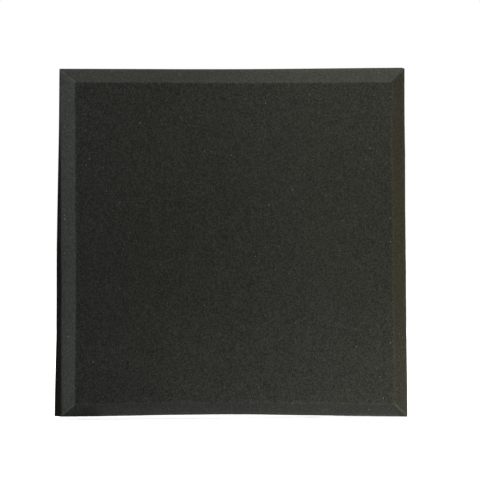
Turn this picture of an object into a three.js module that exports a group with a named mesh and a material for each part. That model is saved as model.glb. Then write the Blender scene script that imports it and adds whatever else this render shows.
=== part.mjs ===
// A square acoustic foam tile with a bevelled frame, put up with peel-and-stick tape pads.
//
// Lengths are millimetres. +Z is up, the face looks along -Y, and +X is to the right of
// someone who faces the tile. The wall is the plane y = 0, where the outer sides of the
// release liners lie, and the origin is the middle of the back.
import * as THREE from "three";

// Foam tile
const tileWidth = 610;
const tileHeight = 610;
const tileThickness = 50.8;
const bevelWidth = 23.5;
const bevelDepth = 25.4;
const flankCornerRadius = 2;
const faceCornerRadius = 1.2;
const outerCreaseRadius = 2;
const faceCreaseRadius = 1.5;

// Double-sided foam tape pads, one near each corner and one in the middle
const padSide = 50;
const padThickness = 1.6;
const padCornerRadius = 3;
const padEdgeMargin = 38;

// Release liners, one on each pad
const linerThickness = 0.25;
const linerOverhang = 1;
const linerTabWidth = 18;
const linerTabReach = 5;

// How finely round stretches are cut into flats
const cornerSteps = 5;
const creaseSteps = 5;
const outlineSteps = 4;

const quarterTurn = Math.PI / 2;
const halfTurn = Math.PI;

const foamBack = -linerThickness - padThickness;

const charcoalFoam = { color: 0x2d2d29, roughness: 1, metalness: 0 };
const blackTape = { color: 0x161616, roughness: 0.85, metalness: 0 };
const linerPaper = { color: 0xe6e1d2, roughness: 0.55, metalness: 0 };

// An arc that rounds the corner of a profile and meets both of its sides at a tangent.
function creaseArc(before, corner, after, radius) {
  const into = corner.clone().sub(before).normalize();
  const outOf = after.clone().sub(corner).normalize();
  const turn = Math.atan2(into.cross(outOf), into.dot(outOf));
  const start = corner.clone().addScaledVector(into, -radius * Math.tan(Math.abs(turn) / 2));
  const towardsCentre = new THREE.Vector2(-into.y, into.x).multiplyScalar(Math.sign(turn) * radius);
  const centre = start.clone().add(towardsCentre);
  const points = [];
  for (let step = 0; step <= creaseSteps; step++) {
    points.push(start.clone().rotateAround(centre, (turn * step) / creaseSteps));
  }
  return points;
}

// The cut that runs round all four sides, from the tile's back to its face.
// x is how far a point is set in from the tile's edge, and y how far it stands off the back.
function tileProfile() {
  const backEdge = new THREE.Vector2(0, 0);
  const outerCrease = new THREE.Vector2(0, tileThickness - bevelDepth);
  const faceCrease = new THREE.Vector2(bevelWidth, tileThickness);
  const onFace = new THREE.Vector2(bevelWidth + bevelDepth, tileThickness);
  return [
    backEdge,
    ...creaseArc(backEdge, outerCrease, faceCrease, outerCreaseRadius),
    ...creaseArc(outerCrease, faceCrease, onFace, faceCreaseRadius),
  ];
}

// The tile's outline at one point of the profile: a rectangle with round corners.
// The corners sharpen towards the face, as they do where two bevels meet in a mitre.
function tileRing(profilePoint) {
  const inwards = profilePoint.x / bevelWidth;
  const radius = THREE.MathUtils.lerp(flankCornerRadius, faceCornerRadius, inwards);
  const cornerX = tileWidth / 2 - profilePoint.x - radius;
  const cornerZ = tileHeight / 2 - profilePoint.x - radius;
  const corners = [[cornerX, cornerZ], [-cornerX, cornerZ], [-cornerX, -cornerZ], [cornerX, -cornerZ]];
  const points = [];
  corners.forEach(([x, z], corner) => {
    for (let step = 0; step <= cornerSteps; step++) {
      const angle = quarterTurn * (corner + step / cornerSteps);
      const reachX = radius * Math.cos(angle);
      const reachZ = radius * Math.sin(angle);
      points.push(new THREE.Vector3(x + reachX, foamBack - profilePoint.y, z + reachZ));
    }
  });
  return points;
}

// A closed skin over rings of equal count, with a flat fan at each end.
function loft(rings) {
  const count = rings[0].length;
  const middles = [rings[0], rings[rings.length - 1]].map((ring) => {
    const middle = new THREE.Vector3();
    ring.forEach((point) => middle.addScaledVector(point, 1 / count));
    return middle;
  });
  const vertices = [...rings.flat(), ...middles];
  const backMiddle = vertices.length - 2;
  const faceMiddle = vertices.length - 1;
  const lastRing = (rings.length - 1) * count;
  const triangles = [];
  for (let side = 0; side < count; side++) {
    const next = (side + 1) % count;
    triangles.push(backMiddle, next, side);
    triangles.push(faceMiddle, lastRing + side, lastRing + next);
    for (let ring = 0; ring < rings.length - 1; ring++) {
      const here = ring * count;
      const ahead = here + count;
      triangles.push(here + side, here + next, ahead + side);
      triangles.push(here + next, ahead + next, ahead + side);
    }
  }
  const geometry = new THREE.BufferGeometry().setFromPoints(vertices);
  geometry.setIndex(triangles);
  geometry.computeVertexNormals();
  return geometry;
}

function piece(name, geometry, look) {
  const mesh = new THREE.Mesh(geometry, new THREE.MeshStandardMaterial(look));
  mesh.name = name;
  return mesh;
}

function foamTile() {
  return piece("foam_tile", loft(tileProfile().map(tileRing)), charcoalFoam);
}

// A flat die-cut sheet whose outline is drawn as seen from the front. Its outer side is
// turned to the wall, and it grows from there towards the foam.
function dieCut(outline, thickness) {
  const sheet = new THREE.ExtrudeGeometry(outline, {
    depth: thickness,
    bevelEnabled: false,
    curveSegments: outlineSteps,
  });
  return sheet.rotateX(quarterTurn);
}

// A square with round corners whose sides lie at the edge given. What drawRightSide adds to
// the shape goes between the two right-hand corners.
function roundedSquare(edge, cornerRadius, drawRightSide = () => {}) {
  const corner = edge - cornerRadius;
  const shape = new THREE.Shape();
  shape.absarc(corner, -corner, cornerRadius, -quarterTurn, 0);
  drawRightSide(shape);
  shape.absarc(corner, corner, cornerRadius, 0, quarterTurn);
  shape.absarc(-corner, corner, cornerRadius, quarterTurn, halfTurn);
  shape.absarc(-corner, -corner, cornerRadius, halfTurn, halfTurn + quarterTurn);
  return shape;
}

function padOutline() {
  return roundedSquare(padSide / 2, padCornerRadius);
}

// The liner overhangs its pad all round, and a finger tab with a round end stands out of its
// right side.
function linerOutline() {
  const edge = padSide / 2 + linerOverhang;
  const tabRadius = linerTabWidth / 2;
  return roundedSquare(edge, padCornerRadius + linerOverhang, (shape) => {
    shape.lineTo(edge, -tabRadius);
    shape.absarc(edge + linerTabReach, 0, tabRadius, -quarterTurn, quarterTurn);
    shape.lineTo(edge, tabRadius);
  });
}

// Where each pad sits. The tabs of the corner pads point to the tile's middle line, so that
// none shows past the tile, and the middle one hangs down.
function padPlaces() {
  const column = tileWidth / 2 - padEdgeMargin - padSide / 2;
  const row = tileHeight / 2 - padEdgeMargin - padSide / 2;
  const places = [{ name: "middle", x: 0, z: 0, tabTurn: quarterTurn }];
  for (const [rowName, up] of [["top", 1], ["bottom", -1]]) {
    places.push({ name: rowName + "_left", x: -column, z: up * row, tabTurn: 0 });
    places.push({ name: rowName + "_right", x: column, z: up * row, tabTurn: halfTurn });
  }
  return places;
}

// A tape pad with its liner on. The liner's outer side lies in the wall's plane.
function mountingPad(place) {
  const liner = piece("liner_" + place.name, dieCut(linerOutline(), linerThickness), linerPaper);
  const tape = piece("tape_pad_" + place.name, dieCut(padOutline(), padThickness), blackTape);
  tape.position.y = -linerThickness;
  const pad = new THREE.Group();
  pad.add(tape, liner);
  pad.position.set(place.x, 0, place.z);
  pad.rotation.y = place.tabTurn;
  return pad;
}

const acousticTile = new THREE.Group();
acousticTile.add(foamTile());
for (const place of padPlaces()) {
  acousticTile.add(mountingPad(place));
}

export default acousticTile;
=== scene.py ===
# %% [markdown]
# # A bevelled acoustic foam tile
#
# The real thing is one slab of open-cell foam, 610 mm square and about 50 mm thick. Its edges
# are cut square to half the thickness and then slope in to a flat face. Five pads of foam tape
# on its back, each under a paper liner, stick it to a wall. This lesson models the slab, the
# pads and the liners, gives them their finishes, and lights them as in a product photograph.
# The first cell loads the construction model, which gives every place and size.

import math

import bmesh
import bpy
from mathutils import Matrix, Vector, noise


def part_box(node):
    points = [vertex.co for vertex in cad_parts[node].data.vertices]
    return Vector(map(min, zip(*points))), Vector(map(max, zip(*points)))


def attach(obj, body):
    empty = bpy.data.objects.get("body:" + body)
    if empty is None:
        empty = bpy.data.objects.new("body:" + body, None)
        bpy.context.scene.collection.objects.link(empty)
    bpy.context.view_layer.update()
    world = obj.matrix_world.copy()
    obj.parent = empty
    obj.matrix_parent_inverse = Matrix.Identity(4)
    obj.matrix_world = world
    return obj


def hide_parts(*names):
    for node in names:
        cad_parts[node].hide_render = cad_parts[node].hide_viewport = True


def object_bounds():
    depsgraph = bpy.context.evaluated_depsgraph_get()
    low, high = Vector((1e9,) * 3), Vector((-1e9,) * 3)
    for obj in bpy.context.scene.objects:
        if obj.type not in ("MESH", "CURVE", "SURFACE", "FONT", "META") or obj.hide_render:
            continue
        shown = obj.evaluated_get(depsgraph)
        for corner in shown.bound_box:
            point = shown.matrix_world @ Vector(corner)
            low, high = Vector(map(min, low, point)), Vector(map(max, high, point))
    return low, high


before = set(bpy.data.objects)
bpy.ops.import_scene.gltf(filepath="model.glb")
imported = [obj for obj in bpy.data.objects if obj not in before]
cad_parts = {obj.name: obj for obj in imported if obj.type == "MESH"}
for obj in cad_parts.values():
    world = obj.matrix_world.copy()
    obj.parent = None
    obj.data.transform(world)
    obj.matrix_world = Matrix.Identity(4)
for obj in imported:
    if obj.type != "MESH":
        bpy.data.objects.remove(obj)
CAD_LOW, CAD_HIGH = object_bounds()
print("construction box:", [round(value, 4) for value in (*CAD_LOW, *CAD_HIGH)])

MM = 0.001
PAD_NAMES = ("middle", "top_left", "top_right", "bottom_left", "bottom_right")

# %% [markdown]
# ## Small helpers
#
# Blender's operators act on whatever is selected, so each step starts by selecting exactly
# what it should change. `pick` chooses vertices, edges or faces of the piece in edit mode by a
# test on their place or direction, as a modeller would by eye. The other helpers switch a
# piece into edit mode, apply its modifiers, and leave nothing else selected.

# %% Helpers for selecting and finishing
# A face looks along an axis when at least this much of its normal runs that way
FACING = 0.9


def only(piece):
    """Makes piece the one selected and active object."""
    bpy.ops.object.select_all(action="DESELECT")
    piece.select_set(True)
    bpy.context.view_layer.objects.active = piece


def edit(piece):
    """Opens piece, and no other, in edit mode."""
    only(piece)
    bpy.ops.object.mode_set(mode="EDIT")


def leave_edit():
    """Goes back to object mode."""
    bpy.ops.object.mode_set(mode="OBJECT")


def pick(kind, test):
    """Selects the vertices, edges or faces of the piece in edit mode that pass test."""
    bpy.ops.mesh.select_mode(type=kind)
    bpy.ops.mesh.select_all(action="DESELECT")
    mesh = bmesh.from_edit_mesh(bpy.context.object.data)
    elements = {"VERT": mesh.verts, "EDGE": mesh.edges, "FACE": mesh.faces}[kind]
    chosen = [element for element in elements if test(element)]
    for element in chosen:
        element.select_set(True)
    mesh.select_flush_mode()
    bmesh.update_edit_mesh(bpy.context.object.data)
    return len(chosen)


def reach(edge, axis):
    """How far an edge runs along an axis."""
    start, end = edge.verts
    return abs(start.co[axis] - end.co[axis])


def bake_place(piece):
    """Moves a piece's place, turn and scale into its mesh."""
    only(piece)
    bpy.ops.object.transform_apply(location=True, rotation=True, scale=True)


def apply_modifiers(piece):
    """Presses all of a piece's modifiers into its mesh, from the first to the last."""
    only(piece)
    for modifier in list(piece.modifiers):
        bpy.ops.object.modifier_apply(modifier=modifier.name)


# %% [markdown]
# ## The slab's form
#
# A tile like this is sawn to a square and then bevelled by a slanted blade. Its mesh could be
# written out point by point, but the same two cuts make it here in fewer steps: a box for the
# square part of the flank, then an inset of its front face that also lifts it, which draws all
# four bevels and their mitres at once. A small bevel on the creases gives them the soft turn
# that a blade leaves in foam.

# %% Saw and bevel the slab
TILE_LOW, TILE_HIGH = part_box("foam_tile")
SIDE = TILE_HIGH.x - TILE_LOW.x
BEVEL_WIDTH = 23.5 * MM
BEVEL_DEPTH = 25.4 * MM
CREASE_RADIUS, CREASE_SEGMENTS = 1.4 * MM, 3
FACE_Y = TILE_LOW.y
CREASE_Y = FACE_Y + BEVEL_DEPTH
BACK_Y = TILE_HIGH.y


def saw_slab():
    """The slab as a true square, with its four bevels."""
    bpy.ops.object.select_all(action="DESELECT")
    bpy.ops.mesh.primitive_cube_add(
        size=1,
        location=(0, (CREASE_Y + BACK_Y) / 2, 0),
        scale=(SIDE, BACK_Y - CREASE_Y, SIDE),
    )
    slab = bpy.context.object
    slab.name = "foam_slab"
    bake_place(slab)
    edit(slab)
    pick("FACE", lambda face: face.normal.y < -FACING)
    bpy.ops.mesh.inset(thickness=BEVEL_WIDTH, depth=BEVEL_DEPTH)
    pick("EDGE", lambda edge: min(vert.co.y for vert in edge.verts) < CREASE_Y + MM)
    bpy.ops.mesh.bevel(offset=CREASE_RADIUS, segments=CREASE_SEGMENTS, affect="EDGES")
    leave_edit()
    return slab


slab = saw_slab()
print("slab:", len(slab.data.polygons), "faces")

# %% [markdown]
# ## Rows of faces
#
# Foam is soft, so the real tile isn't a true square, and its surface isn't flat. To take a
# bowed edge or a dip, the slab needs many small faces. Loop cuts would do it by hand. Without
# a window, subdividing all the edges that run one way gives the same even rows.

# %% Cut the slab into small faces
FIRST_CUTS, SECOND_CUTS, DEPTH_CUTS = 9, 19, 8
LONG_EDGE = 400 * MM
MIDDLE_EDGE = 40 * MM
SHORT_EDGE = 15 * MM
ALONG_X, ALONG_Y, ALONG_Z = 0, 1, 2


def cut_rows(slab):
    """Cuts the slab into rows: the long edges twice, along x and z, and the flank's along y."""
    edit(slab)
    for axis in (ALONG_X, ALONG_Z):
        pick("EDGE", lambda edge: reach(edge, axis) > LONG_EDGE)
        bpy.ops.mesh.subdivide(number_cuts=FIRST_CUTS)
        pick("EDGE", lambda edge: reach(edge, axis) > MIDDLE_EDGE)
        bpy.ops.mesh.subdivide(number_cuts=SECOND_CUTS)
    pick("EDGE", lambda edge: reach(edge, ALONG_Y) > SHORT_EDGE)
    bpy.ops.mesh.subdivide(number_cuts=DEPTH_CUTS)
    leave_edit()


cut_rows(slab)
print("cut slab:", len(slab.data.polygons), "faces")

# %% [markdown]
# ## Marks that the finish will read
#
# The four bevels are cut by another blade than the face, which leaves them finer, and they are
# painted a little lighter for the light they catch. The sawn sides are painted darker, as they
# are in shade. The creases catch light where torn cell walls stand up as a nap, and their
# lightness is painted into the colour, partly as the nap's own tone and partly as a painted
# highlight. It spreads widest round the rim, which is handled most, and is strongest towards
# the lower right corner, where the light catches it. The mitres carry most of it, except at
# the upper right, and the left rim has none. The finish has to know where all that is. A finish
# could look for the creases in the bent mesh, but while the slab is still square they are easy
# to find. So each vertex now stores how much nap and highlight it has, and whether it lies on a
# bevel or on a sawn side, and the marks travel with the mesh through every later change of
# shape.

# %% Mark the creases, the bevels and the sawn sides
# Reaches and strengths of the nap and its painted highlight
RIM_REACH = 7.5 * MM
CREASE_REACH = 2.6 * MM
MITRE_REACH = 3.2 * MM
SHORTEST_HIGHLIGHT = 0.35
MITRE_HIGHLIGHT_STRENGTH = 2.6


def nap_and_highlight(place):
    """Nap and painted highlight: most on the rim, a crease or a mitre, and 0 away from them."""
    from_edge_x = SIDE / 2 - abs(place.x)
    from_edge_z = SIDE / 2 - abs(place.z)
    inset = min(from_edge_x, from_edge_z)
    on_left = place.x < 0 and from_edge_x < from_edge_z
    from_rim = math.hypot(inset, place.y - CREASE_Y)
    from_crease = math.hypot(inset - BEVEL_WIDTH, place.y - FACE_Y)
    from_mitre = abs(from_edge_x - from_edge_z) / math.sqrt(2)
    # The left rim gets no nap and no painted highlight
    rim_highlight = 0.0 if on_left else 1 - from_rim / RIM_REACH
    crease_highlight = 1 - from_crease / CREASE_REACH
    mitre_highlight = 0.0
    if inset < BEVEL_WIDTH and place.y < CREASE_Y + MM:
        towards_upper_right = max(0.0, (place.x + place.z) / SIDE)
        mitre_highlight = MITRE_HIGHLIGHT_STRENGTH * (1 - from_mitre / MITRE_REACH) * (1 - towards_upper_right)
    # Painted highlight: stronger towards the lower right corner, where the light catches the
    # creases
    towards_lower_right = 0.5 + (place.x - place.z) / (2 * SIDE)
    longest = SHORTEST_HIGHLIGHT + (1 - SHORTEST_HIGHLIGHT) * towards_lower_right
    return longest * max(0.0, rim_highlight, crease_highlight, mitre_highlight)


def on_bevel(place):
    """1 on a bevel, falling to 0 over its last millimetre before a crease, and 0 elsewhere."""
    return max(0.0, min(1.0, (CREASE_Y - place.y) / MM, (place.y - FACE_Y) / MM))


def on_flank(place):
    """1 on the four sawn sides, falling to 0 over their last millimetre before a crease."""
    from_edge = SIDE / 2 - max(abs(place.x), abs(place.z))
    return max(0.0, min(1.0, (place.y - CREASE_Y) / MM, 1 - from_edge / MM))


def mark(slab, name, measure):
    """Stores a measure of each vertex's place under a name."""
    marks = slab.data.attributes.new(name, "FLOAT", "POINT")
    marks.data.foreach_set("value", [measure(vert.co) for vert in slab.data.vertices])


mark(slab, "nap_highlight", nap_and_highlight)
mark(slab, "bevel", on_bevel)
mark(slab, "flank", on_flank)
print("marks:", [marks.name for marks in slab.data.attributes if marks.data_type == "FLOAT"])

# %% [markdown]
# ## As the blade left it
#
# Measured against a true square, the tile in the photograph is a few millimetres small, its
# bottom edge dips most, and its left flank leans out more and more towards the bottom. Vertices
# could be pulled one by one with a soft brush, but a lattice bends the whole slab at once and
# leaves no dents. It has three points across, three in depth, of which the middle ones lie
# level with the outer crease, and five in height. Each point takes its share of the four corner
# errors and of the dips of the four sides. The bevels aren't all equally wide either: the one
# on the right is wider, so the front points also take the errors of the face's own corners.

# %% Bend the slab with a lattice
LEFT, RIGHT, TOP, BOTTOM, MIDDLE = -1, 1, 1, -1, 0
UPPER, LOWER = 0.5, -0.5
FRONT, BACK = -1, 1
# How far each corner lies from the true square, to the right and up
CORNER_ERROR = {
    (LEFT, TOP): Vector((0.1 * MM, 0, -1.0 * MM)),
    (RIGHT, TOP): Vector((-3.4 * MM, 0, -1.7 * MM)),
    (RIGHT, BOTTOM): Vector((2.1 * MM, 0, -0.8 * MM)),
    (LEFT, BOTTOM): Vector((2.4 * MM, 0, 3.6 * MM)),
}
# How far each corner of the face lies from its true place behind those
FACE_ERROR = {
    (LEFT, TOP): Vector((0.7 * MM, 0, 2.4 * MM)),
    (RIGHT, TOP): Vector((-3.2 * MM, 0, 1.0 * MM)),
    (RIGHT, BOTTOM): Vector((-2.8 * MM, 0, 0.4 * MM)),
    (LEFT, BOTTOM): Vector((-2.3 * MM, 0, 0)),
}
# How far the middle of each side dips in
SIDE_DIP = {
    (LEFT, MIDDLE): 1.6 * MM,
    (RIGHT, MIDDLE): 0.6 * MM,
    (MIDDLE, TOP): 1.6 * MM,
    (MIDDLE, BOTTOM): 3.8 * MM,
}
# How far the back edge of the left flank stands out past its front edge
LEFT_LEAN = {
    TOP: -3.3 * MM,
    UPPER: 0.4 * MM,
    MIDDLE: 4.2 * MM,
    LOWER: 5.3 * MM,
    BOTTOM: 7.9 * MM,
}


def share_of_corners(errors, across, up):
    """The errors of the four corners, mixed by how near each one is."""
    shares = [error * (1 + across * x) * (1 + up * z) / 4 for (x, z), error in errors.items()]
    return sum(shares, Vector())


def as_cut(across, level, up):
    """How far a point of the lattice moves from its true place."""
    move = share_of_corners(CORNER_ERROR, across, up)
    if level == FRONT:
        move += share_of_corners(FACE_ERROR, across, up)
    for (x, z), dip in SIDE_DIP.items():
        along_side = up if x else across
        nearness = max(0.0, across * x + up * z)
        move -= Vector((x, 0, z)) * dip * nearness * (1 - along_side ** 2)
    if across == LEFT and level == BACK:
        move.x -= LEFT_LEAN[up]
    return move


def bend_slab(slab):
    """Puts a lattice round the slab, moves its points, and applies what that does."""
    bpy.ops.object.select_all(action="DESELECT")
    bpy.ops.object.add(type="LATTICE", location=(0, (FACE_Y + BACK_Y) / 2, 0))
    lattice = bpy.context.object
    lattice.scale = (SIDE, BACK_Y - FACE_Y, SIDE)
    cage = lattice.data
    cage.points_u = cage.points_v = 3
    cage.points_w = 5
    cage.interpolation_type_u = cage.interpolation_type_w = "KEY_CARDINAL"
    cage.interpolation_type_v = "KEY_LINEAR"
    for point in cage.points:
        # A lattice runs from -0.5 to 0.5 and is counted here from -1 to 1, in steps of a half
        across, level, up = (round(4 * value) / 2 for value in point.co)
        move = as_cut(across, level, up)
        point.co_deform = point.co + Vector((move.x / SIDE, 0, move.z / SIDE))
    slab.modifiers.new("as cut", "LATTICE").object = lattice
    apply_modifiers(slab)
    bpy.data.objects.remove(lattice)


bend_slab(slab)
print("bent slab:", [round(value, 4) for value in slab.dimensions])

# %% [markdown]
# ## The skin of cut foam
#
# Cut foam is never quite flat. The blade rides over it in long shallow waves, and the open
# cells leave the surface uneven by a tenth or two of a millimetre. A bump in the finish would
# look the same from the front, but it would leave the outline smooth. So two Displace
# modifiers press both into the mesh. Their middle level is 1, so they only push inwards, and
# the back stays clear of the wall. The back is the side where a band knife split the sheet from
# its block. It is flatter, with long faint grooves from the knife, and quite flat under the
# pads, which press it down. A vertex group says how much of the relief each vertex takes.

# %% Press waves, grain and knife grooves into the surface
WAVE_SIZE, WAVE_DEPTH = 90 * MM, 0.9 * MM
GRAIN_SIZE, GRAIN_DEPTH = 7 * MM, 0.45 * MM
CLOUD_DETAIL = 2
BACK_SHARE = 0.25
GROOVE_LENGTH, GROOVE_PITCH, GROOVE_DEPTH = 500 * MM, 11 * MM, 0.35 * MM
PAD_BOXES = {name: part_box("tape_pad_" + name) for name in PAD_NAMES}


def under_a_pad(place):
    """Whether a place on the back is covered by one of the pads."""
    return any(
        low.x < place.x < high.x and low.z < place.z < high.z for low, high in PAD_BOXES.values())


def share_of_relief(place):
    """How much of the relief a place takes: all of it, except on the back."""
    if place.y < BACK_Y - MM:
        return 1.0
    return 0.0 if under_a_pad(place) else BACK_SHARE


def split_back(slab):
    """Gives each vertex its share of the relief, and the back the grooves of the knife."""
    relief = slab.vertex_groups.new(name="relief")
    for vert in slab.data.vertices:
        share = share_of_relief(vert.co)
        relief.add([vert.index], share, "REPLACE")
        if share == BACK_SHARE:
            along = Vector((vert.co.x / GROOVE_LENGTH, 0, vert.co.z / GROOVE_PITCH))
            vert.co.y -= GROOVE_DEPTH * (0.5 + 0.5 * noise.noise(along))


def press_relief(slab, name, size, depth):
    """Adds a Displace modifier that pushes the slab's skin in by up to depth."""
    cloud = bpy.data.textures.new(name, "CLOUDS")
    cloud.noise_scale = size
    cloud.noise_depth = CLOUD_DETAIL
    relief = slab.modifiers.new(name, "DISPLACE")
    relief.texture = cloud
    relief.texture_coords = "LOCAL"
    relief.strength = depth
    relief.mid_level = 1.0
    relief.vertex_group = "relief"


split_back(slab)
press_relief(slab, "blade waves", WAVE_SIZE, WAVE_DEPTH)
press_relief(slab, "cell grain", GRAIN_SIZE, GRAIN_DEPTH)
apply_modifiers(slab)
only(slab)
bpy.ops.object.shade_smooth()
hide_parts("foam_tile")
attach(slab, "root")
print("foam slab:", len(slab.data.polygons), "faces,", [round(v, 4) for v in slab.dimensions])

# %% [markdown]
# ## Tape pads
#
# Each pad is a die-cut square of double-sided foam tape: a black closed-cell core between two
# thin films of adhesive. The die squeezes the core, so its edge is a little hollow between the
# films. A plain box would lack that edge and the round corners of the die. So a box gets its
# upright edges bevelled and its rim cut into rows, and the middle rows are pulled in. One pad
# is modelled at the middle of the back and then copied to the four corners.

# %% Model one tape pad
PAD_CORNER, PAD_CORNER_SEGMENTS = 3 * MM, 6
PAD_RIM_CUTS = 5
# How far from mid-thickness the rim is pulled in, as a share of the thickness, and to what size
PAD_CORE_REACH = 0.2
PAD_HOLLOW = 0.994
SMOOTH_ANGLE = math.radians(35)
PAD_LOW, PAD_HIGH = PAD_BOXES["middle"]


def add_sheet(name, low, high):
    """A box that fills the space between two corners."""
    bpy.ops.object.select_all(action="DESELECT")
    bpy.ops.mesh.primitive_cube_add(size=1, location=(low + high) / 2, scale=high - low)
    sheet = bpy.context.object
    sheet.name = name
    bake_place(sheet)
    return sheet


def model_pad():
    """The pad in the middle of the back."""
    pad = add_sheet("foam_tape_middle", PAD_LOW, PAD_HIGH)
    edit(pad)
    pick("EDGE", lambda edge: reach(edge, ALONG_Y) > MM)
    bpy.ops.mesh.bevel(offset=PAD_CORNER, segments=PAD_CORNER_SEGMENTS, affect="EDGES")
    pick("EDGE", lambda edge: reach(edge, ALONG_Y) > MM)
    bpy.ops.mesh.subdivide(number_cuts=PAD_RIM_CUTS)
    core = PAD_CORE_REACH * (PAD_HIGH.y - PAD_LOW.y)
    middle_y = (PAD_HIGH.y + PAD_LOW.y) / 2
    pick("VERT", lambda vert: abs(vert.co.y - middle_y) < core)
    bpy.ops.transform.resize(value=(PAD_HOLLOW, 1, PAD_HOLLOW))
    leave_edit()
    only(pad)
    bpy.ops.object.shade_smooth_by_angle(angle=SMOOTH_ANGLE)
    return pad


tape_pads = {"middle": model_pad()}
print("tape pad:", len(tape_pads["middle"].data.polygons), "faces")

# %% [markdown]
# ## Paper liners
#
# A liner is coated paper that stands out 1 mm past its pad all round, with a round-ended tab to
# pull it off by. It could be a filled curve with a thickness, but such a fill has no rows of
# faces to bend. So it starts as a thin box: two cuts mark out the tab's root, the face between
# them is extruded, and bevels round the tab's end, the corners and the two inner corners. More
# cuts across the tab let it curl.

# %% Model one paper liner
LINER_THICKNESS = 0.25 * MM
LINER_OVERHANG = 1 * MM
LINER_CORNER, LINER_CORNER_SEGMENTS = 4 * MM, 8
TAB_WIDTH = 18 * MM
TAB_REACH = 14 * MM
TAB_END_SEGMENTS = 12
TAB_ROOT_FILLET, TAB_ROOT_SEGMENTS = 1 * MM, 4
TAB_CURL = 1.1 * MM
CURL_CUTS = 12
NEAR = MM / 10


def cut_across(place, direction):
    """Cuts the whole piece in edit mode along a plane through place."""
    bpy.ops.mesh.select_all(action="SELECT")
    bpy.ops.mesh.bisect(plane_co=place, plane_no=direction)


def model_liner():
    """A liner whose tab points to the right."""
    side = PAD_HIGH.x + LINER_OVERHANG
    low = Vector((-side, -LINER_THICKNESS, -side))
    liner = add_sheet("liner_pattern", low, Vector((side, 0, side)))
    edit(liner)
    cut_across((0, 0, TAB_WIDTH / 2), (0, 0, 1))
    cut_across((0, 0, -TAB_WIDTH / 2), (0, 0, 1))
    pick("FACE", lambda face: face.normal.x > FACING and abs(face.calc_center_median().z) < MM)
    bpy.ops.mesh.extrude_region()
    bpy.ops.transform.translate(value=(TAB_REACH, 0, 0))

    def upright(edge):
        return reach(edge, ALONG_Y) > LINER_THICKNESS / 2

    def at(edge, x, z):
        place = edge.verts[0].co
        return abs(place.x - x) < NEAR and abs(abs(place.z) - z) < NEAR

    pick("EDGE", lambda edge: upright(edge) and at(edge, side + TAB_REACH, TAB_WIDTH / 2))
    bpy.ops.mesh.bevel(offset=TAB_WIDTH / 2 - NEAR, segments=TAB_END_SEGMENTS, affect="EDGES")
    pick("EDGE", lambda edge: upright(edge) and (at(edge, side, side) or at(edge, -side, side)))
    bpy.ops.mesh.bevel(offset=LINER_CORNER, segments=LINER_CORNER_SEGMENTS, affect="EDGES")
    pick("EDGE", lambda edge: upright(edge) and at(edge, side, TAB_WIDTH / 2))
    bpy.ops.mesh.bevel(offset=TAB_ROOT_FILLET, segments=TAB_ROOT_SEGMENTS, affect="EDGES")
    curl_step = (TAB_REACH + LINER_OVERHANG) / CURL_CUTS
    for cut in range(CURL_CUTS):
        cut_across((PAD_HIGH.x + cut * curl_step, 0, 0), (1, 0, 0))
    leave_edit()
    return liner


def curl_tab(liner):
    """Curls the tab towards the foam, more and more towards its end."""
    for vert in liner.data.vertices:
        along = max(0.0, (vert.co.x - PAD_HIGH.x) / (TAB_REACH + LINER_OVERHANG))
        vert.co.y -= TAB_CURL * along ** 2


liner_pattern = model_liner()
curl_tab(liner_pattern)
only(liner_pattern)
bpy.ops.object.shade_smooth_by_angle(angle=SMOOTH_ANGLE)
print("paper liner:", len(liner_pattern.data.polygons), "faces")

# %% [markdown]
# ## Laying out the back
#
# The pads sit near the corners and in the middle. The tabs of the corner liners point in
# towards the tile's middle line, so that none sticks out past the tile, and the middle one
# hangs down. Linked copies would share one mesh and keep their turn and place outside it, and
# a pattern on them would turn as well. So each copy gets a mesh of its own, and its turn and
# place are moved into that mesh.

# %% Copy the pads and liners to their places
TAB_TURN = {
    "middle": math.radians(90),
    "top_left": 0,
    "bottom_left": 0,
    "top_right": math.radians(180),
    "bottom_right": math.radians(180),
}


def lay_copy(pattern, name, middle, turn):
    """Copies a piece with a mesh of its own, turned about y and laid round middle."""
    piece = pattern.copy()
    piece.data = pattern.data.copy()
    piece.name = name
    piece.location = (middle.x, 0, middle.z)
    piece.rotation_euler = (0, turn, 0)
    bpy.context.scene.collection.objects.link(piece)
    bake_place(piece)
    return piece


paper_liners = {}
for name in PAD_NAMES:
    low, high = PAD_BOXES[name]
    middle = (low + high) / 2
    if name not in tape_pads:
        tape_pads[name] = lay_copy(tape_pads["middle"], "foam_tape_" + name, middle, 0)
    paper_liners[name] = lay_copy(liner_pattern, "paper_liner_" + name, middle, TAB_TURN[name])
    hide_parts("tape_pad_" + name)
    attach(tape_pads[name], "root")
    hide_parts("liner_" + name)
    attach(paper_liners[name], "root")
bpy.data.objects.remove(liner_pattern)
print("pads and liners:", len(tape_pads), "and", len(paper_liners))

# %% [markdown]
# ## Building finishes
#
# A finish is a tree of shader nodes. It could be wired up with the mouse in the shader editor.
# In a script, these helpers add a node, set its named inputs, and join sockets, so that each
# finish below reads as a list of what goes into what.

# %% Helpers for shader nodes
def add_node(tree, kind, inputs=None, **settings):
    """Adds a node, with values or sockets for its inputs and plain values for its settings."""
    node = tree.nodes.new("ShaderNode" + kind)
    for name, value in settings.items():
        setattr(node, name, value)
    for name, value in (inputs or {}).items():
        if isinstance(value, bpy.types.NodeSocket):
            tree.links.new(value, node.inputs[name])
        else:
            node.inputs[name].default_value = value
    return node


def calculate(tree, operation, *values):
    """A Math node's result. A value may be a number or a socket."""
    return add_node(tree, "Math", dict(enumerate(values)), operation=operation).outputs[0]


def spread(tree, value, from_low, from_high, to_low, to_high):
    """Maps a value from one range to another, and holds it at the ends."""
    limits = {"Value": value, "From Min": from_low, "From Max": from_high}
    limits.update({"To Min": to_low, "To Max": to_high})
    return add_node(tree, "MapRange", limits).outputs["Result"]


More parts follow.
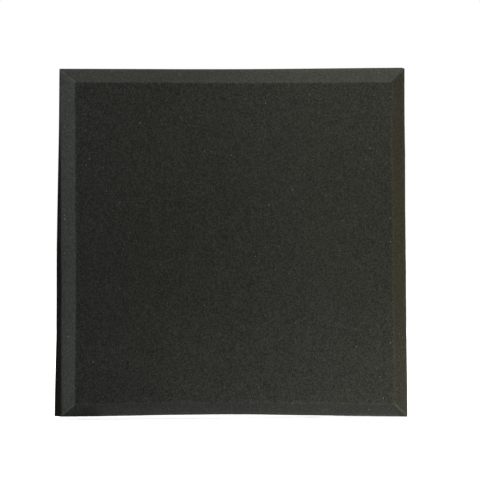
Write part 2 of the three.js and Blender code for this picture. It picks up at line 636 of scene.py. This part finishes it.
def new_group(name, numbers, outputs):
    """A node group with a Vector input, named number inputs and named number outputs."""
    group = bpy.data.node_groups.new(name, "ShaderNodeTree")
    group.interface.new_socket("Vector", in_out="INPUT", socket_type="NodeSocketVector")
    for number in numbers:
        group.interface.new_socket(number, in_out="INPUT", socket_type="NodeSocketFloat")
    for output in outputs:
        group.interface.new_socket(output, in_out="OUTPUT", socket_type="NodeSocketFloat")
    given = group.nodes.new("NodeGroupInput").outputs
    result = group.nodes.new("NodeGroupOutput").inputs
    return group, given, result


def use_group(tree, group, inputs):
    """Places a node group in a material and returns its outputs."""
    return add_node(tree, "Group", inputs, node_tree=group).outputs


def new_finish(name):
    """A material with a Principled shader, and the place of each point on the piece."""
    finish = bpy.data.materials.new(name)
    finish.use_nodes = True
    tree = finish.node_tree
    shader = tree.nodes["Principled BSDF"]
    place = add_node(tree, "TexCoord").outputs["Object"]
    return finish, tree, shader, place


def dress(piece, finish):
    """Gives a piece one finish all over."""
    piece.data.materials.clear()
    piece.data.materials.append(finish)


# %% [markdown]
# ## Shared effect: foam cells
#
# Both the slab and the tape are foam, one with open cells and one with closed cells. Under a
# lens such foam is a froth of pores, and each pore shows a different depth, so it has a tone of
# its own. A noise would be quicker but has no walls in it. So a Voronoi texture makes the
# froth: its distance to the edge draws the struts between the pores, and its random colour
# gives each pore a tone. Most pores are dark and few are light, so the tone is squared. A noise
# a few pores wide warps the pattern first, because real pores are uneven. Now and then a pore
# is still closed by a thin skin, whose glint is a painted highlight, and now and then one is
# torn into a pit, whose dark is painted shade. A second, wider Voronoi places both. Few skins
# glint brightly, so the glint is squared too, and it is below 0 in a pit, where it paints shade.

# %% Build the foam cells group
# Lengths in this group are counted in pores
WARPS_PER_PORE = 0.35
NOISE_MIDDLE = (0.5, 0.5, 0.5)
STRUT_REACH = 0.2
SKIN_RADIUS, SKIN_CORE = 0.6, 0.4
GLINT_SPACING = 4.5
GLINT_SHARE = 0.18
# How dark the painted shade in a pit is
PIT_SHADE_STRENGTH = 0.13


def build_foam_cells():
    """A group that gives struts, a tone for each pore, and glints and pits."""
    group, given, result = new_group(
        "foam cells", ("Pore Size", "Unevenness"), ("Strut", "Pore Tone", "Glint"))
    pores_per_metre = calculate(group, "DIVIDE", 1, given["Pore Size"])
    warp_scale = calculate(group, "MULTIPLY", pores_per_metre, WARPS_PER_PORE)
    warp = add_node(group, "TexNoise", {"Vector": given["Vector"], "Scale": warp_scale})
    centred = add_node(
        group, "VectorMath", {0: warp.outputs["Color"], 1: NOISE_MIDDLE}, operation="SUBTRACT")
    push = calculate(group, "MULTIPLY", given["Pore Size"], given["Unevenness"])
    pushed = add_node(
        group, "VectorMath", {0: centred.outputs[0], "Scale": push}, operation="SCALE")
    place = add_node(
        group, "VectorMath", {0: given["Vector"], 1: pushed.outputs[0]}, operation="ADD")
    froth = {"Vector": place.outputs[0], "Scale": pores_per_metre}
    edges = add_node(group, "TexVoronoi", froth, feature="DISTANCE_TO_EDGE")
    strut = spread(group, edges.outputs["Distance"], 0, STRUT_REACH, 1, 0)
    pores = add_node(group, "TexVoronoi", froth, feature="F1")
    random = add_node(group, "SeparateColor", {"Color": pores.outputs["Color"]}).outputs["Red"]
    skins_per_metre = calculate(group, "DIVIDE", pores_per_metre, GLINT_SPACING)
    skins = add_node(
        group, "TexVoronoi", {"Vector": given["Vector"], "Scale": skins_per_metre}, feature="F1")
    chance = add_node(group, "SeparateColor", {"Color": skins.outputs["Color"]}).outputs["Red"]
    # A skin's glint is a painted highlight, and a pit's dark is painted shade
    closed = calculate(group, "POWER", spread(group, chance, 1 - GLINT_SHARE, 1, 0, 1), 2)
    torn_pit_shade = spread(group, chance, 0, GLINT_SHARE, PIT_SHADE_STRENGTH, 0)
    skin_reach = SKIN_RADIUS / GLINT_SPACING
    middle = spread(
        group, skins.outputs["Distance"], SKIN_CORE * skin_reach, skin_reach, 1, 0)
    group.links.new(strut, result["Strut"])
    group.links.new(calculate(group, "POWER", random, 2), result["Pore Tone"])
    glint = calculate(group, "SUBTRACT", closed, torn_pit_shade)
    group.links.new(calculate(group, "MULTIPLY", glint, middle), result["Glint"])
    return group


foam_cells = build_foam_cells()
print("foam cells:", len(foam_cells.nodes), "nodes")

# %% [markdown]
# ## Shared effect: drift
#
# No sheet of foam, tape or paper is one even tone. It drifts a little over a hand's width and
# again over a finger's width. This group adds two noises, one four times as fine as the other,
# and each finish of the tile uses it with a size and an amount of its own. A result of 1 leaves
# a colour as it is.

# %% Build the drift group
HOW_MUCH_FINER = 4


def build_drift():
    """A group that gives a tone near 1, which drifts from place to place."""
    group, given, result = new_group("drift", ("Size", "Amount"), ("Tone",))
    broad_scale = calculate(group, "DIVIDE", 1, given["Size"])
    fine_scale = calculate(group, "MULTIPLY", broad_scale, HOW_MUCH_FINER)
    broad = add_node(group, "TexNoise", {"Vector": given["Vector"], "Scale": broad_scale})
    fine = add_node(group, "TexNoise", {"Vector": given["Vector"], "Scale": fine_scale})
    both = calculate(group, "ADD", broad.outputs["Fac"], fine.outputs["Fac"])
    centred = calculate(group, "SUBTRACT", both, 1)
    tone = calculate(group, "MULTIPLY_ADD", centred, given["Amount"], 1)
    group.links.new(tone, result["Tone"])
    return group


drift = build_drift()
print("drift:", len(drift.nodes), "nodes")

# %% [markdown]
# ## Charcoal foam
#
# The slab's colour is a very dark warm grey. Close to, each pore is a hollow with a tone of its
# own between lighter struts, and at arm's length they blur into a speckle. A picture of foam
# wrapped round the slab would show its seams and stretch on the bevels, and a pattern worked
# out from each point's place does neither. So the colour is multiplied by a speckle, which adds
# up the froth of pores and struts, the painted glints, the painted shade of the pits, and a
# noise of clumps about two pores wide. The marks made on the square slab come in here: the nap
# and its painted highlight lighten the creases, the bevels are painted lighter and are less
# speckled, and the sawn sides are painted darker, as in shade. Foam scatters light inside its
# pores and hardly shines, so its roughness is near 1 and its specular level near 0. A bump from
# the same froth gives each pore its own small shadow. Foam rises as it sets, which leaves its
# cells taller than wide, so the pattern is stretched upwards.

# %% Make the foam finish
FOAM_COLOUR = (0.033, 0.034, 0.028)
FOAM_SPECULAR = 0.02
FOAM_ROUGHEST, FOAM_SMOOTHEST = 1.0, 0.86
PORE_SIZE, PORE_UNEVENNESS = 1.5 * MM, 1.0
CLUMP_SIZE, CLUMP_DETAIL = 2.8 * MM, 1
CELL_SQUEEZE = (1.14, 1.0, 0.72)
PORE_CONTRAST = 1.32
STRUT_LIGHT = 0.8
# Lies near the froth's mean, so that the speckle changes the mean tone by a few percent at most
FROTH_MIDDLE = 0.56
CLUMP_CONTRAST = 0.6
GLINT_LIGHT = 9.5
# A painted highlight on the creases, partly the nap's own lighter tone
NAP_PAINTED_HIGHLIGHT = 0.5
# Painted light that makes the bevels lighter
BEVEL_PAINTED_LIGHT = 0.34
BEVEL_SPECKLE = 0.82
# Painted shade that makes the sawn sides darker
FLANK_PAINTED_SHADE = -0.2
DRIFT_SIZE, DRIFT_AMOUNT = 120 * MM, 0.12
PORE_DEPTH, PORE_BUMP = 0.24 * MM, 0.5
CLUMP_HEIGHT = 0.3


def make_foam_finish():
    """The slab's finish, which reads the marks stored on its vertices."""
    finish, tree, shader, place = new_finish("charcoal foam")
    risen = add_node(tree, "VectorMath", {0: place, 1: CELL_SQUEEZE}, operation="MULTIPLY")
    risen_place = risen.outputs[0]
    cells = use_group(tree, foam_cells, {
        "Vector": risen_place, "Pore Size": PORE_SIZE, "Unevenness": PORE_UNEVENNESS})
    slow = use_group(tree, drift, {"Vector": place, "Size": DRIFT_SIZE, "Amount": DRIFT_AMOUNT})
    clumps = add_node(tree, "TexNoise", {
        "Vector": risen_place, "Scale": 1 / CLUMP_SIZE, "Detail": CLUMP_DETAIL}).outputs["Fac"]
    nap_highlight, bevel, flank = (
        add_node(tree, "Attribute", attribute_name=name).outputs["Fac"]
        for name in ("nap_highlight", "bevel", "flank"))

    pore_light = calculate(tree, "MULTIPLY", cells["Pore Tone"], PORE_CONTRAST)
    up_to_strut = calculate(tree, "SUBTRACT", STRUT_LIGHT, pore_light)
    froth = calculate(tree, "MULTIPLY_ADD", cells["Strut"], up_to_strut, pore_light)
    froth = calculate(tree, "SUBTRACT", froth, FROTH_MIDDLE)
    # Painted glints, and painted shade in the pits
    with_glints = calculate(tree, "MULTIPLY_ADD", cells["Glint"], GLINT_LIGHT, froth)
    clump_light = calculate(tree, "MULTIPLY_ADD", clumps, CLUMP_CONTRAST, -CLUMP_CONTRAST / 2)
    grain = calculate(tree, "ADD", with_glints, clump_light)
    contrast = calculate(tree, "MULTIPLY_ADD", bevel, BEVEL_SPECKLE - 1, 1)
    speckle = calculate(tree, "MULTIPLY_ADD", grain, contrast, 1)
    # Painted light: the bevels are made lighter, for the light they catch
    cut = calculate(tree, "MULTIPLY_ADD", bevel, BEVEL_PAINTED_LIGHT, 1)
    # Painted shade: the sawn sides are made darker
    cut = calculate(tree, "MULTIPLY_ADD", flank, FLANK_PAINTED_SHADE, cut)
    # The nap's own lighter tone and a painted highlight on the creases
    cut = calculate(tree, "MULTIPLY_ADD", nap_highlight, NAP_PAINTED_HIGHLIGHT, cut)
    light = calculate(tree, "MULTIPLY", calculate(tree, "MULTIPLY", speckle, cut), slow["Tone"])
    colour = add_node(tree, "VectorMath", {0: FOAM_COLOUR, "Scale": light}, operation="SCALE")
    tree.links.new(colour.outputs[0], shader.inputs["Base Color"])

    roughness = spread(tree, cells["Pore Tone"], 0, 1, FOAM_ROUGHEST, FOAM_SMOOTHEST)
    tree.links.new(roughness, shader.inputs["Roughness"])
    shader.inputs["Specular IOR Level"].default_value = FOAM_SPECULAR

    height = calculate(tree, "MULTIPLY_ADD", clumps, CLUMP_HEIGHT, froth)
    bump = add_node(
        tree, "Bump", {"Height": height, "Distance": PORE_DEPTH, "Strength": PORE_BUMP})
    tree.links.new(bump.outputs["Normal"], shader.inputs["Normal"])
    return finish


foam_finish = make_foam_finish()
dress(slab, foam_finish)
print("foam finish:", len(foam_finish.node_tree.nodes), "nodes")

# %% [markdown]
# ## Foam tape
#
# The tape's cells are closed and much finer than the slab's, about a third of a millimetre, and
# the adhesive on its faces is a little glossy. A plain black would do at arm's length. Close
# to, the two shared groups give it its cells and its drift of tone, with finer values.

# %% Make the tape finish
TAPE_COLOUR = (0.012, 0.012, 0.012)
TAPE_SPECULAR = 0.4
TAPE_ROUGHEST, TAPE_SMOOTHEST = 0.7, 0.5
TAPE_PORE_SIZE, TAPE_UNEVENNESS = 0.35 * MM, 0.8
TAPE_DARKEST, TAPE_LIGHTEST = 0.75, 1.25
TAPE_DRIFT_SIZE, TAPE_DRIFT_AMOUNT = 30 * MM, 0.3
TAPE_PORE_DEPTH, TAPE_BUMP = 0.06 * MM, 0.6


def make_tape_finish():
    """The finish that all five pads share."""
    finish, tree, shader, place = new_finish("black foam tape")
    cells = use_group(tree, foam_cells, {
        "Vector": place, "Pore Size": TAPE_PORE_SIZE, "Unevenness": TAPE_UNEVENNESS})
    slow = use_group(tree, drift, {
        "Vector": place, "Size": TAPE_DRIFT_SIZE, "Amount": TAPE_DRIFT_AMOUNT})
    pore_light = spread(tree, cells["Pore Tone"], 0, 1, TAPE_DARKEST, TAPE_LIGHTEST)
    light = calculate(tree, "MULTIPLY", pore_light, slow["Tone"])
    colour = add_node(tree, "VectorMath", {0: TAPE_COLOUR, "Scale": light}, operation="SCALE")
    tree.links.new(colour.outputs[0], shader.inputs["Base Color"])
    roughness = spread(tree, cells["Pore Tone"], 0, 1, TAPE_ROUGHEST, TAPE_SMOOTHEST)
    tree.links.new(roughness, shader.inputs["Roughness"])
    shader.inputs["Specular IOR Level"].default_value = TAPE_SPECULAR
    bump = add_node(tree, "Bump", {
        "Height": cells["Strut"], "Distance": TAPE_PORE_DEPTH, "Strength": TAPE_BUMP})
    tree.links.new(bump.outputs["Normal"], shader.inputs["Normal"])
    return finish


tape_finish = make_tape_finish()
for tape_pad in tape_pads.values():
    dress(tape_pad, tape_finish)
print("tape finish:", len(tape_finish.node_tree.nodes), "nodes")

# %% [markdown]
# ## Liner paper
#
# Release paper is off-white with a smooth coating. Close to, it shows short fibres that lie
# mostly one way. An even noise would look like plaster, so two noises make the fibres, each
# stretched along one direction, and the second one counts half as much.

# %% Make the paper finish
PAPER_COLOUR = (0.72, 0.68, 0.58)
PAPER_ROUGHEST, PAPER_SMOOTHEST = 0.6, 0.45
PAPER_DARKEST, PAPER_LIGHTEST = 0.94, 1.04
PAPER_DRIFT_SIZE, PAPER_DRIFT_AMOUNT = 18 * MM, 0.07
COAT_WEIGHT, COAT_ROUGHNESS = 0.2, 0.35
FIBRE_LENGTH, FIBRE_WIDTH, FIBRE_DETAIL = 5 * MM, 0.5 * MM, 2
MAIN_ANGLE, CROSS_ANGLE = math.radians(12), math.radians(-58)
CROSS_SHARE = 0.5
# The two noises added up run from about the first of these values to the second
LEAST_FIBRE, MOST_FIBRE = 0.4, 1.1
FIBRE_DEPTH, FIBRE_BUMP = 0.02 * MM, 0.7


def fibres(tree, place, angle):
    """A noise stretched into fibres that lie at an angle on the sheet."""
    turned = add_node(tree, "Mapping", {"Vector": place, "Rotation": (0, angle, 0)})
    turned.inputs["Scale"].default_value = (1 / FIBRE_LENGTH, 1 / FIBRE_WIDTH, 1 / FIBRE_WIDTH)
    return add_node(tree, "TexNoise", {
        "Vector": turned.outputs[0], "Scale": 1, "Detail": FIBRE_DETAIL}).outputs["Fac"]


def make_paper_finish():
    """The finish that all five liners share."""
    finish, tree, shader, place = new_finish("release paper")
    main = fibres(tree, place, MAIN_ANGLE)
    cross = fibres(tree, place, CROSS_ANGLE)
    felt = calculate(tree, "ADD", main, calculate(tree, "MULTIPLY", cross, CROSS_SHARE))
    fibre_light = spread(tree, felt, LEAST_FIBRE, MOST_FIBRE, PAPER_DARKEST, PAPER_LIGHTEST)
    slow = use_group(tree, drift, {
        "Vector": place, "Size": PAPER_DRIFT_SIZE, "Amount": PAPER_DRIFT_AMOUNT})
    light = calculate(tree, "MULTIPLY", fibre_light, slow["Tone"])
    colour = add_node(tree, "VectorMath", {0: PAPER_COLOUR, "Scale": light}, operation="SCALE")
    tree.links.new(colour.outputs[0], shader.inputs["Base Color"])
    roughness = spread(tree, felt, LEAST_FIBRE, MOST_FIBRE, PAPER_ROUGHEST, PAPER_SMOOTHEST)
    tree.links.new(roughness, shader.inputs["Roughness"])
    shader.inputs["Coat Weight"].default_value = COAT_WEIGHT
    shader.inputs["Coat Roughness"].default_value = COAT_ROUGHNESS
    bump = add_node(
        tree, "Bump", {"Height": felt, "Distance": FIBRE_DEPTH, "Strength": FIBRE_BUMP})
    tree.links.new(bump.outputs["Normal"], shader.inputs["Normal"])
    return finish


paper_finish = make_paper_finish()
for paper_liner in paper_liners.values():
    dress(paper_liner, paper_finish)
print("paper finish:", len(paper_finish.node_tree.nodes), "nodes")

# %% [markdown]
# ## The camera
#
# The tile is seen a little from its left and from above: its left flank shows as a thin strip.
# Opposite sides of the face stay parallel. A camera near the tile would make them converge, so
# this one stands far off, with a long lens. It aims beside the tile's middle by as much as puts
# the tile where the photograph has it.

# %% Place the camera
PHOTO_SIDE_PX = 480
MM_PER_PX = 1.74
SLAB_MIDDLE_PX = Vector((233.3, 243.0))
CAMERA_AZIMUTH = math.radians(-7.3)
CAMERA_ELEVATION = math.radians(2.7)
CAMERA_DISTANCE, CAMERA_SIGHT = 20.0, 100.0
SENSOR_WIDTH_MM = 36.0


def place_camera():
    """Makes the scene's camera, and frames the tile as the photograph does."""
    towards_camera = Vector((
        math.sin(CAMERA_AZIMUTH) * math.cos(CAMERA_ELEVATION),
        -math.cos(CAMERA_AZIMUTH) * math.cos(CAMERA_ELEVATION),
        math.sin(CAMERA_ELEVATION),
    ))
    turn = towards_camera.to_track_quat("Z", "Y")
    from_middle = Vector((PHOTO_SIDE_PX / 2, PHOTO_SIDE_PX / 2)) - SLAB_MIDDLE_PX
    aim = Vector((0, CREASE_Y, 0))
    aim += turn @ Vector((from_middle.x, -from_middle.y, 0)) * MM_PER_PX * MM
    data = bpy.data.cameras.new("camera")
    data.sensor_width = SENSOR_WIDTH_MM
    data.lens = SENSOR_WIDTH_MM * CAMERA_DISTANCE / (PHOTO_SIDE_PX * MM_PER_PX * MM)
    data.clip_end = CAMERA_SIGHT
    camera = bpy.data.objects.new("camera", data)
    camera.location = aim + towards_camera * CAMERA_DISTANCE
    camera.rotation_euler = turn.to_euler()
    bpy.context.scene.collection.objects.link(camera)
    bpy.context.scene.camera = camera
    return camera


camera = place_camera()
print("camera at:", [round(value, 3) for value in camera.location])
print("lens:", round(camera.data.lens), "mm")

# %% [markdown]
# ## Floor and background
#
# A product photograph has a pure white ground. A backdrop could be lit until it is white, but
# its light would spill onto the dark foam. Here the world is white only for rays that come
# straight from the camera or by a mirror or glass, and dim for all others, so that the ground
# stays white and the tile isn't flooded with light. The floor works the same way: part of its
# white is its own light, and the rest is lit paint, so the tile's soft shadow still shows on
# it. Its own light grows with the distance from the tile, so that far off the floor is as white
# as the world. Seen from below it is clear.

# %% Make the world and the floor
WORLD_LIGHT = 0.12
NEAR_WHITE, NEAR_REACH = 0.74, 0.6
FAR_WHITE, FAR_REACH = 1.0, 2.0
FLOOR_PAINT = (0.85, 0.85, 0.85)
FLOOR_HALF = 6.0
# The floor touches the lowest corner of the bent slab
FLOOR_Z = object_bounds()[0].z
scene = bpy.context.scene
scene.view_settings.view_transform = "Standard"


def ground_rays(tree):
    """1 for rays that should see the white ground, and 0 for rays that light the tile."""
    path = add_node(tree, "LightPath").outputs
    seen = calculate(tree, "MAXIMUM", path["Is Camera Ray"], path["Is Glossy Ray"])
    return calculate(tree, "MAXIMUM", seen, path["Is Transmission Ray"])


def make_world():
    """A world that is white to look at and dim as a lamp."""
    world = bpy.data.worlds.new("white studio")
    world.use_nodes = True
    tree = world.node_tree
    background = tree.nodes["Background"]
    background.inputs["Color"].default_value = (1, 1, 1, 1)
    strength = spread(tree, ground_rays(tree), 0, 1, WORLD_LIGHT, 1)
    tree.links.new(strength, background.inputs["Strength"])
    scene.world = world


def make_floor():
    """A white floor that keeps the tile's shadow and is clear from below."""
    bpy.ops.object.select_all(action="DESELECT")
    bpy.ops.mesh.primitive_plane_add(size=2 * FLOOR_HALF, location=(0, 0, FLOOR_Z))
    floor = bpy.context.object
    floor.name = "studio_floor"
    bake_place(floor)
    finish, tree, shader, place = new_finish("studio floor")
    tree.nodes.remove(shader)
    paint = add_node(tree, "BsdfDiffuse", {"Color": (*FLOOR_PAINT, 1)})
    flat_place = add_node(tree, "VectorMath", {0: place, 1: (1, 1, 0)}, operation="MULTIPLY")
    distance = add_node(tree, "VectorMath", {0: flat_place.outputs[0]}, operation="LENGTH")
    seen_white = spread(
        tree, distance.outputs["Value"], NEAR_REACH, FAR_REACH, NEAR_WHITE, FAR_WHITE)
    own_white = calculate(tree, "MULTIPLY", ground_rays(tree), seen_white)
    glow = add_node(tree, "Emission", {"Strength": own_white})
    both = add_node(tree, "AddShader", {0: paint.outputs[0], 1: glow.outputs[0]})
    clear = add_node(tree, "BsdfTransparent")
    from_below = add_node(tree, "NewGeometry").outputs["Backfacing"]
    mixed = add_node(
        tree, "MixShader", {0: from_below, 1: both.outputs[0], 2: clear.outputs[0]})
    tree.links.new(mixed.outputs[0], tree.nodes["Material Output"].inputs["Surface"])
    dress(floor, finish)


make_world()
make_floor()
print("floor at z:", round(FLOOR_Z, 4))

# %% [markdown]
# ## Light
#
# The left and top bevels are the lightest, and the face grows lighter towards the right. A
# broad lamp in front would light the whole face alike, so the light is built up from parts. One
# cool softbox high on the left skims the face and strikes the left bevel. Small lamps with
# grids, which hold their beams narrow, lay soft pools of light on three corners of the face and
# on its foot, and one low on the left reaches the bottom of the left bevel. A faint strip lies
# on the floor under the overhang of the bottom bevel, where the others don't reach. A weak
# amber lamp level with the face reaches nothing but the right bevel and flank, and gives them
# their brown tinge. Another softbox lights the back. The strip shines straight up, and every
# other lamp is aimed at a point on the tile.

# %% Hang the lamps
TILE_MIDDLE = (0, CREASE_Y, 0)


def hang_lamp(name, place, side, power, colour, aim=TILE_MIDDLE, beam=180, depth=None):
    """A square lamp, or a strip that is as deep as depth says.

    Its beam is an angle in degrees, 180 without a grid.
    """
    lamp = bpy.data.lights.new(name, "AREA")
    lamp.size = side
    if depth:
        lamp.shape = "RECTANGLE"
        lamp.size_y = depth
    lamp.energy = power
    lamp.color = colour
    lamp.spread = math.radians(beam)
    holder = bpy.data.objects.new(name, lamp)
    holder.location = place
    holder.rotation_euler = (Vector(place) - Vector(aim)).to_track_quat("Z", "Y").to_euler()
    holder.visible_camera = False
    scene.collection.objects.link(holder)


COOL, NEUTRAL, WARM = (0.84, 0.88, 1.0), (1.0, 1.0, 1.0), (1.0, 0.96, 0.92)
AMBER = (1.0, 0.65, 0.0)
UPPER_LEFT, UPPER_RIGHT = (-0.25, FACE_Y, 0.27), (0.26, FACE_Y, 0.24)
FOOT, LOWER_RIGHT = (-0.05, FACE_Y, -0.3), (0.3, FACE_Y, -0.33)
LEFT_BEVEL_FOOT, RIGHT_EDGE = (-0.3, CREASE_Y, -0.25), (0.3, FACE_Y, 0)
STRIP_PLACE = Vector((0.03, CREASE_Y - 10 * MM, FLOOR_Z + MM))
STRIP_AIM = STRIP_PLACE + Vector((0, 0, 1))
STRIP_LENGTH, STRIP_WIDTH = 0.53, 24 * MM
hang_lamp("left softbox", (-1.4, -0.5, 1.2), side=0.6, power=22.0, colour=COOL)
hang_lamp(
    "upper left grid", (-0.5, -1.2, 2.0),
    side=0.3, power=0.104, colour=WARM, aim=UPPER_LEFT, beam=16)
hang_lamp(
    "upper right grid", (0.2, -1.6, 1.8),
    side=0.4, power=1.01, colour=WARM, aim=UPPER_RIGHT, beam=24)
hang_lamp(
    "lower right grid", (0.2, -2.8, 0.15),
    side=0.3, power=0.36, colour=NEUTRAL, aim=LOWER_RIGHT, beam=14)
hang_lamp(
    "foot grid", (0, -2.4, -0.1),
    side=0.3, power=0.1, colour=NEUTRAL, aim=FOOT, beam=12)
hang_lamp(
    "low left grid", (-1.5, -0.25, -0.12),
    side=0.25, power=0.055, colour=COOL, aim=LEFT_BEVEL_FOOT, beam=16)
hang_lamp(
    "foot strip", STRIP_PLACE,
    side=STRIP_LENGTH, depth=STRIP_WIDTH, power=0.022, colour=COOL, aim=STRIP_AIM)
hang_lamp(
    "right edge lamp", (1.6, -0.2, 0),
    side=0.3, power=0.59, colour=AMBER, aim=RIGHT_EDGE, beam=60)
hang_lamp("back softbox", (0, 2.6, 0.9), side=1.2, power=45, colour=NEUTRAL)
print("lamps:", len(bpy.data.lights))

# %% [markdown]
# ## A net by the left flank
#
# The left flank is nearly black, though the bevel beside it is light. A photographer gets that
# with a net, a sheet of gauze on a frame that stops part of the light. Moving the softbox would
# darken the bevel as well, so the net is the better way. It stands close along the flank, with
# its front edge just ahead of the crease and its back edge past the wall's plane.

# %% Stand the net
NET_GAP = 10 * MM
NET_LEAD, NET_TRAIL = 5 * MM, 30 * MM
NET_PASSES = 0.2


def stand_net():
    """A thin box that stops part of the light and that the camera doesn't see."""
    low = Vector((CAD_LOW.x - NET_GAP - MM, CREASE_Y - NET_LEAD, CAD_LOW.z + MM))
    high = Vector((CAD_LOW.x - NET_GAP, NET_TRAIL, CAD_HIGH.z))
    net = add_sheet("flank_net", low, high)
    finish, tree, shader, _ = new_finish("black gauze")
    tree.nodes.remove(shader)
    # Light crosses two sides of the thin box, so each side passes the square root
    each_side = math.sqrt(NET_PASSES)
    gauze = add_node(tree, "BsdfTransparent", {"Color": (each_side, each_side, each_side, 1)})
    tree.links.new(gauze.outputs[0], tree.nodes["Material Output"].inputs["Surface"])
    dress(net, finish)
    net.visible_camera = False
    return net


flank_net = stand_net()
print("net:", [round(value, 3) for value in flank_net.dimensions])
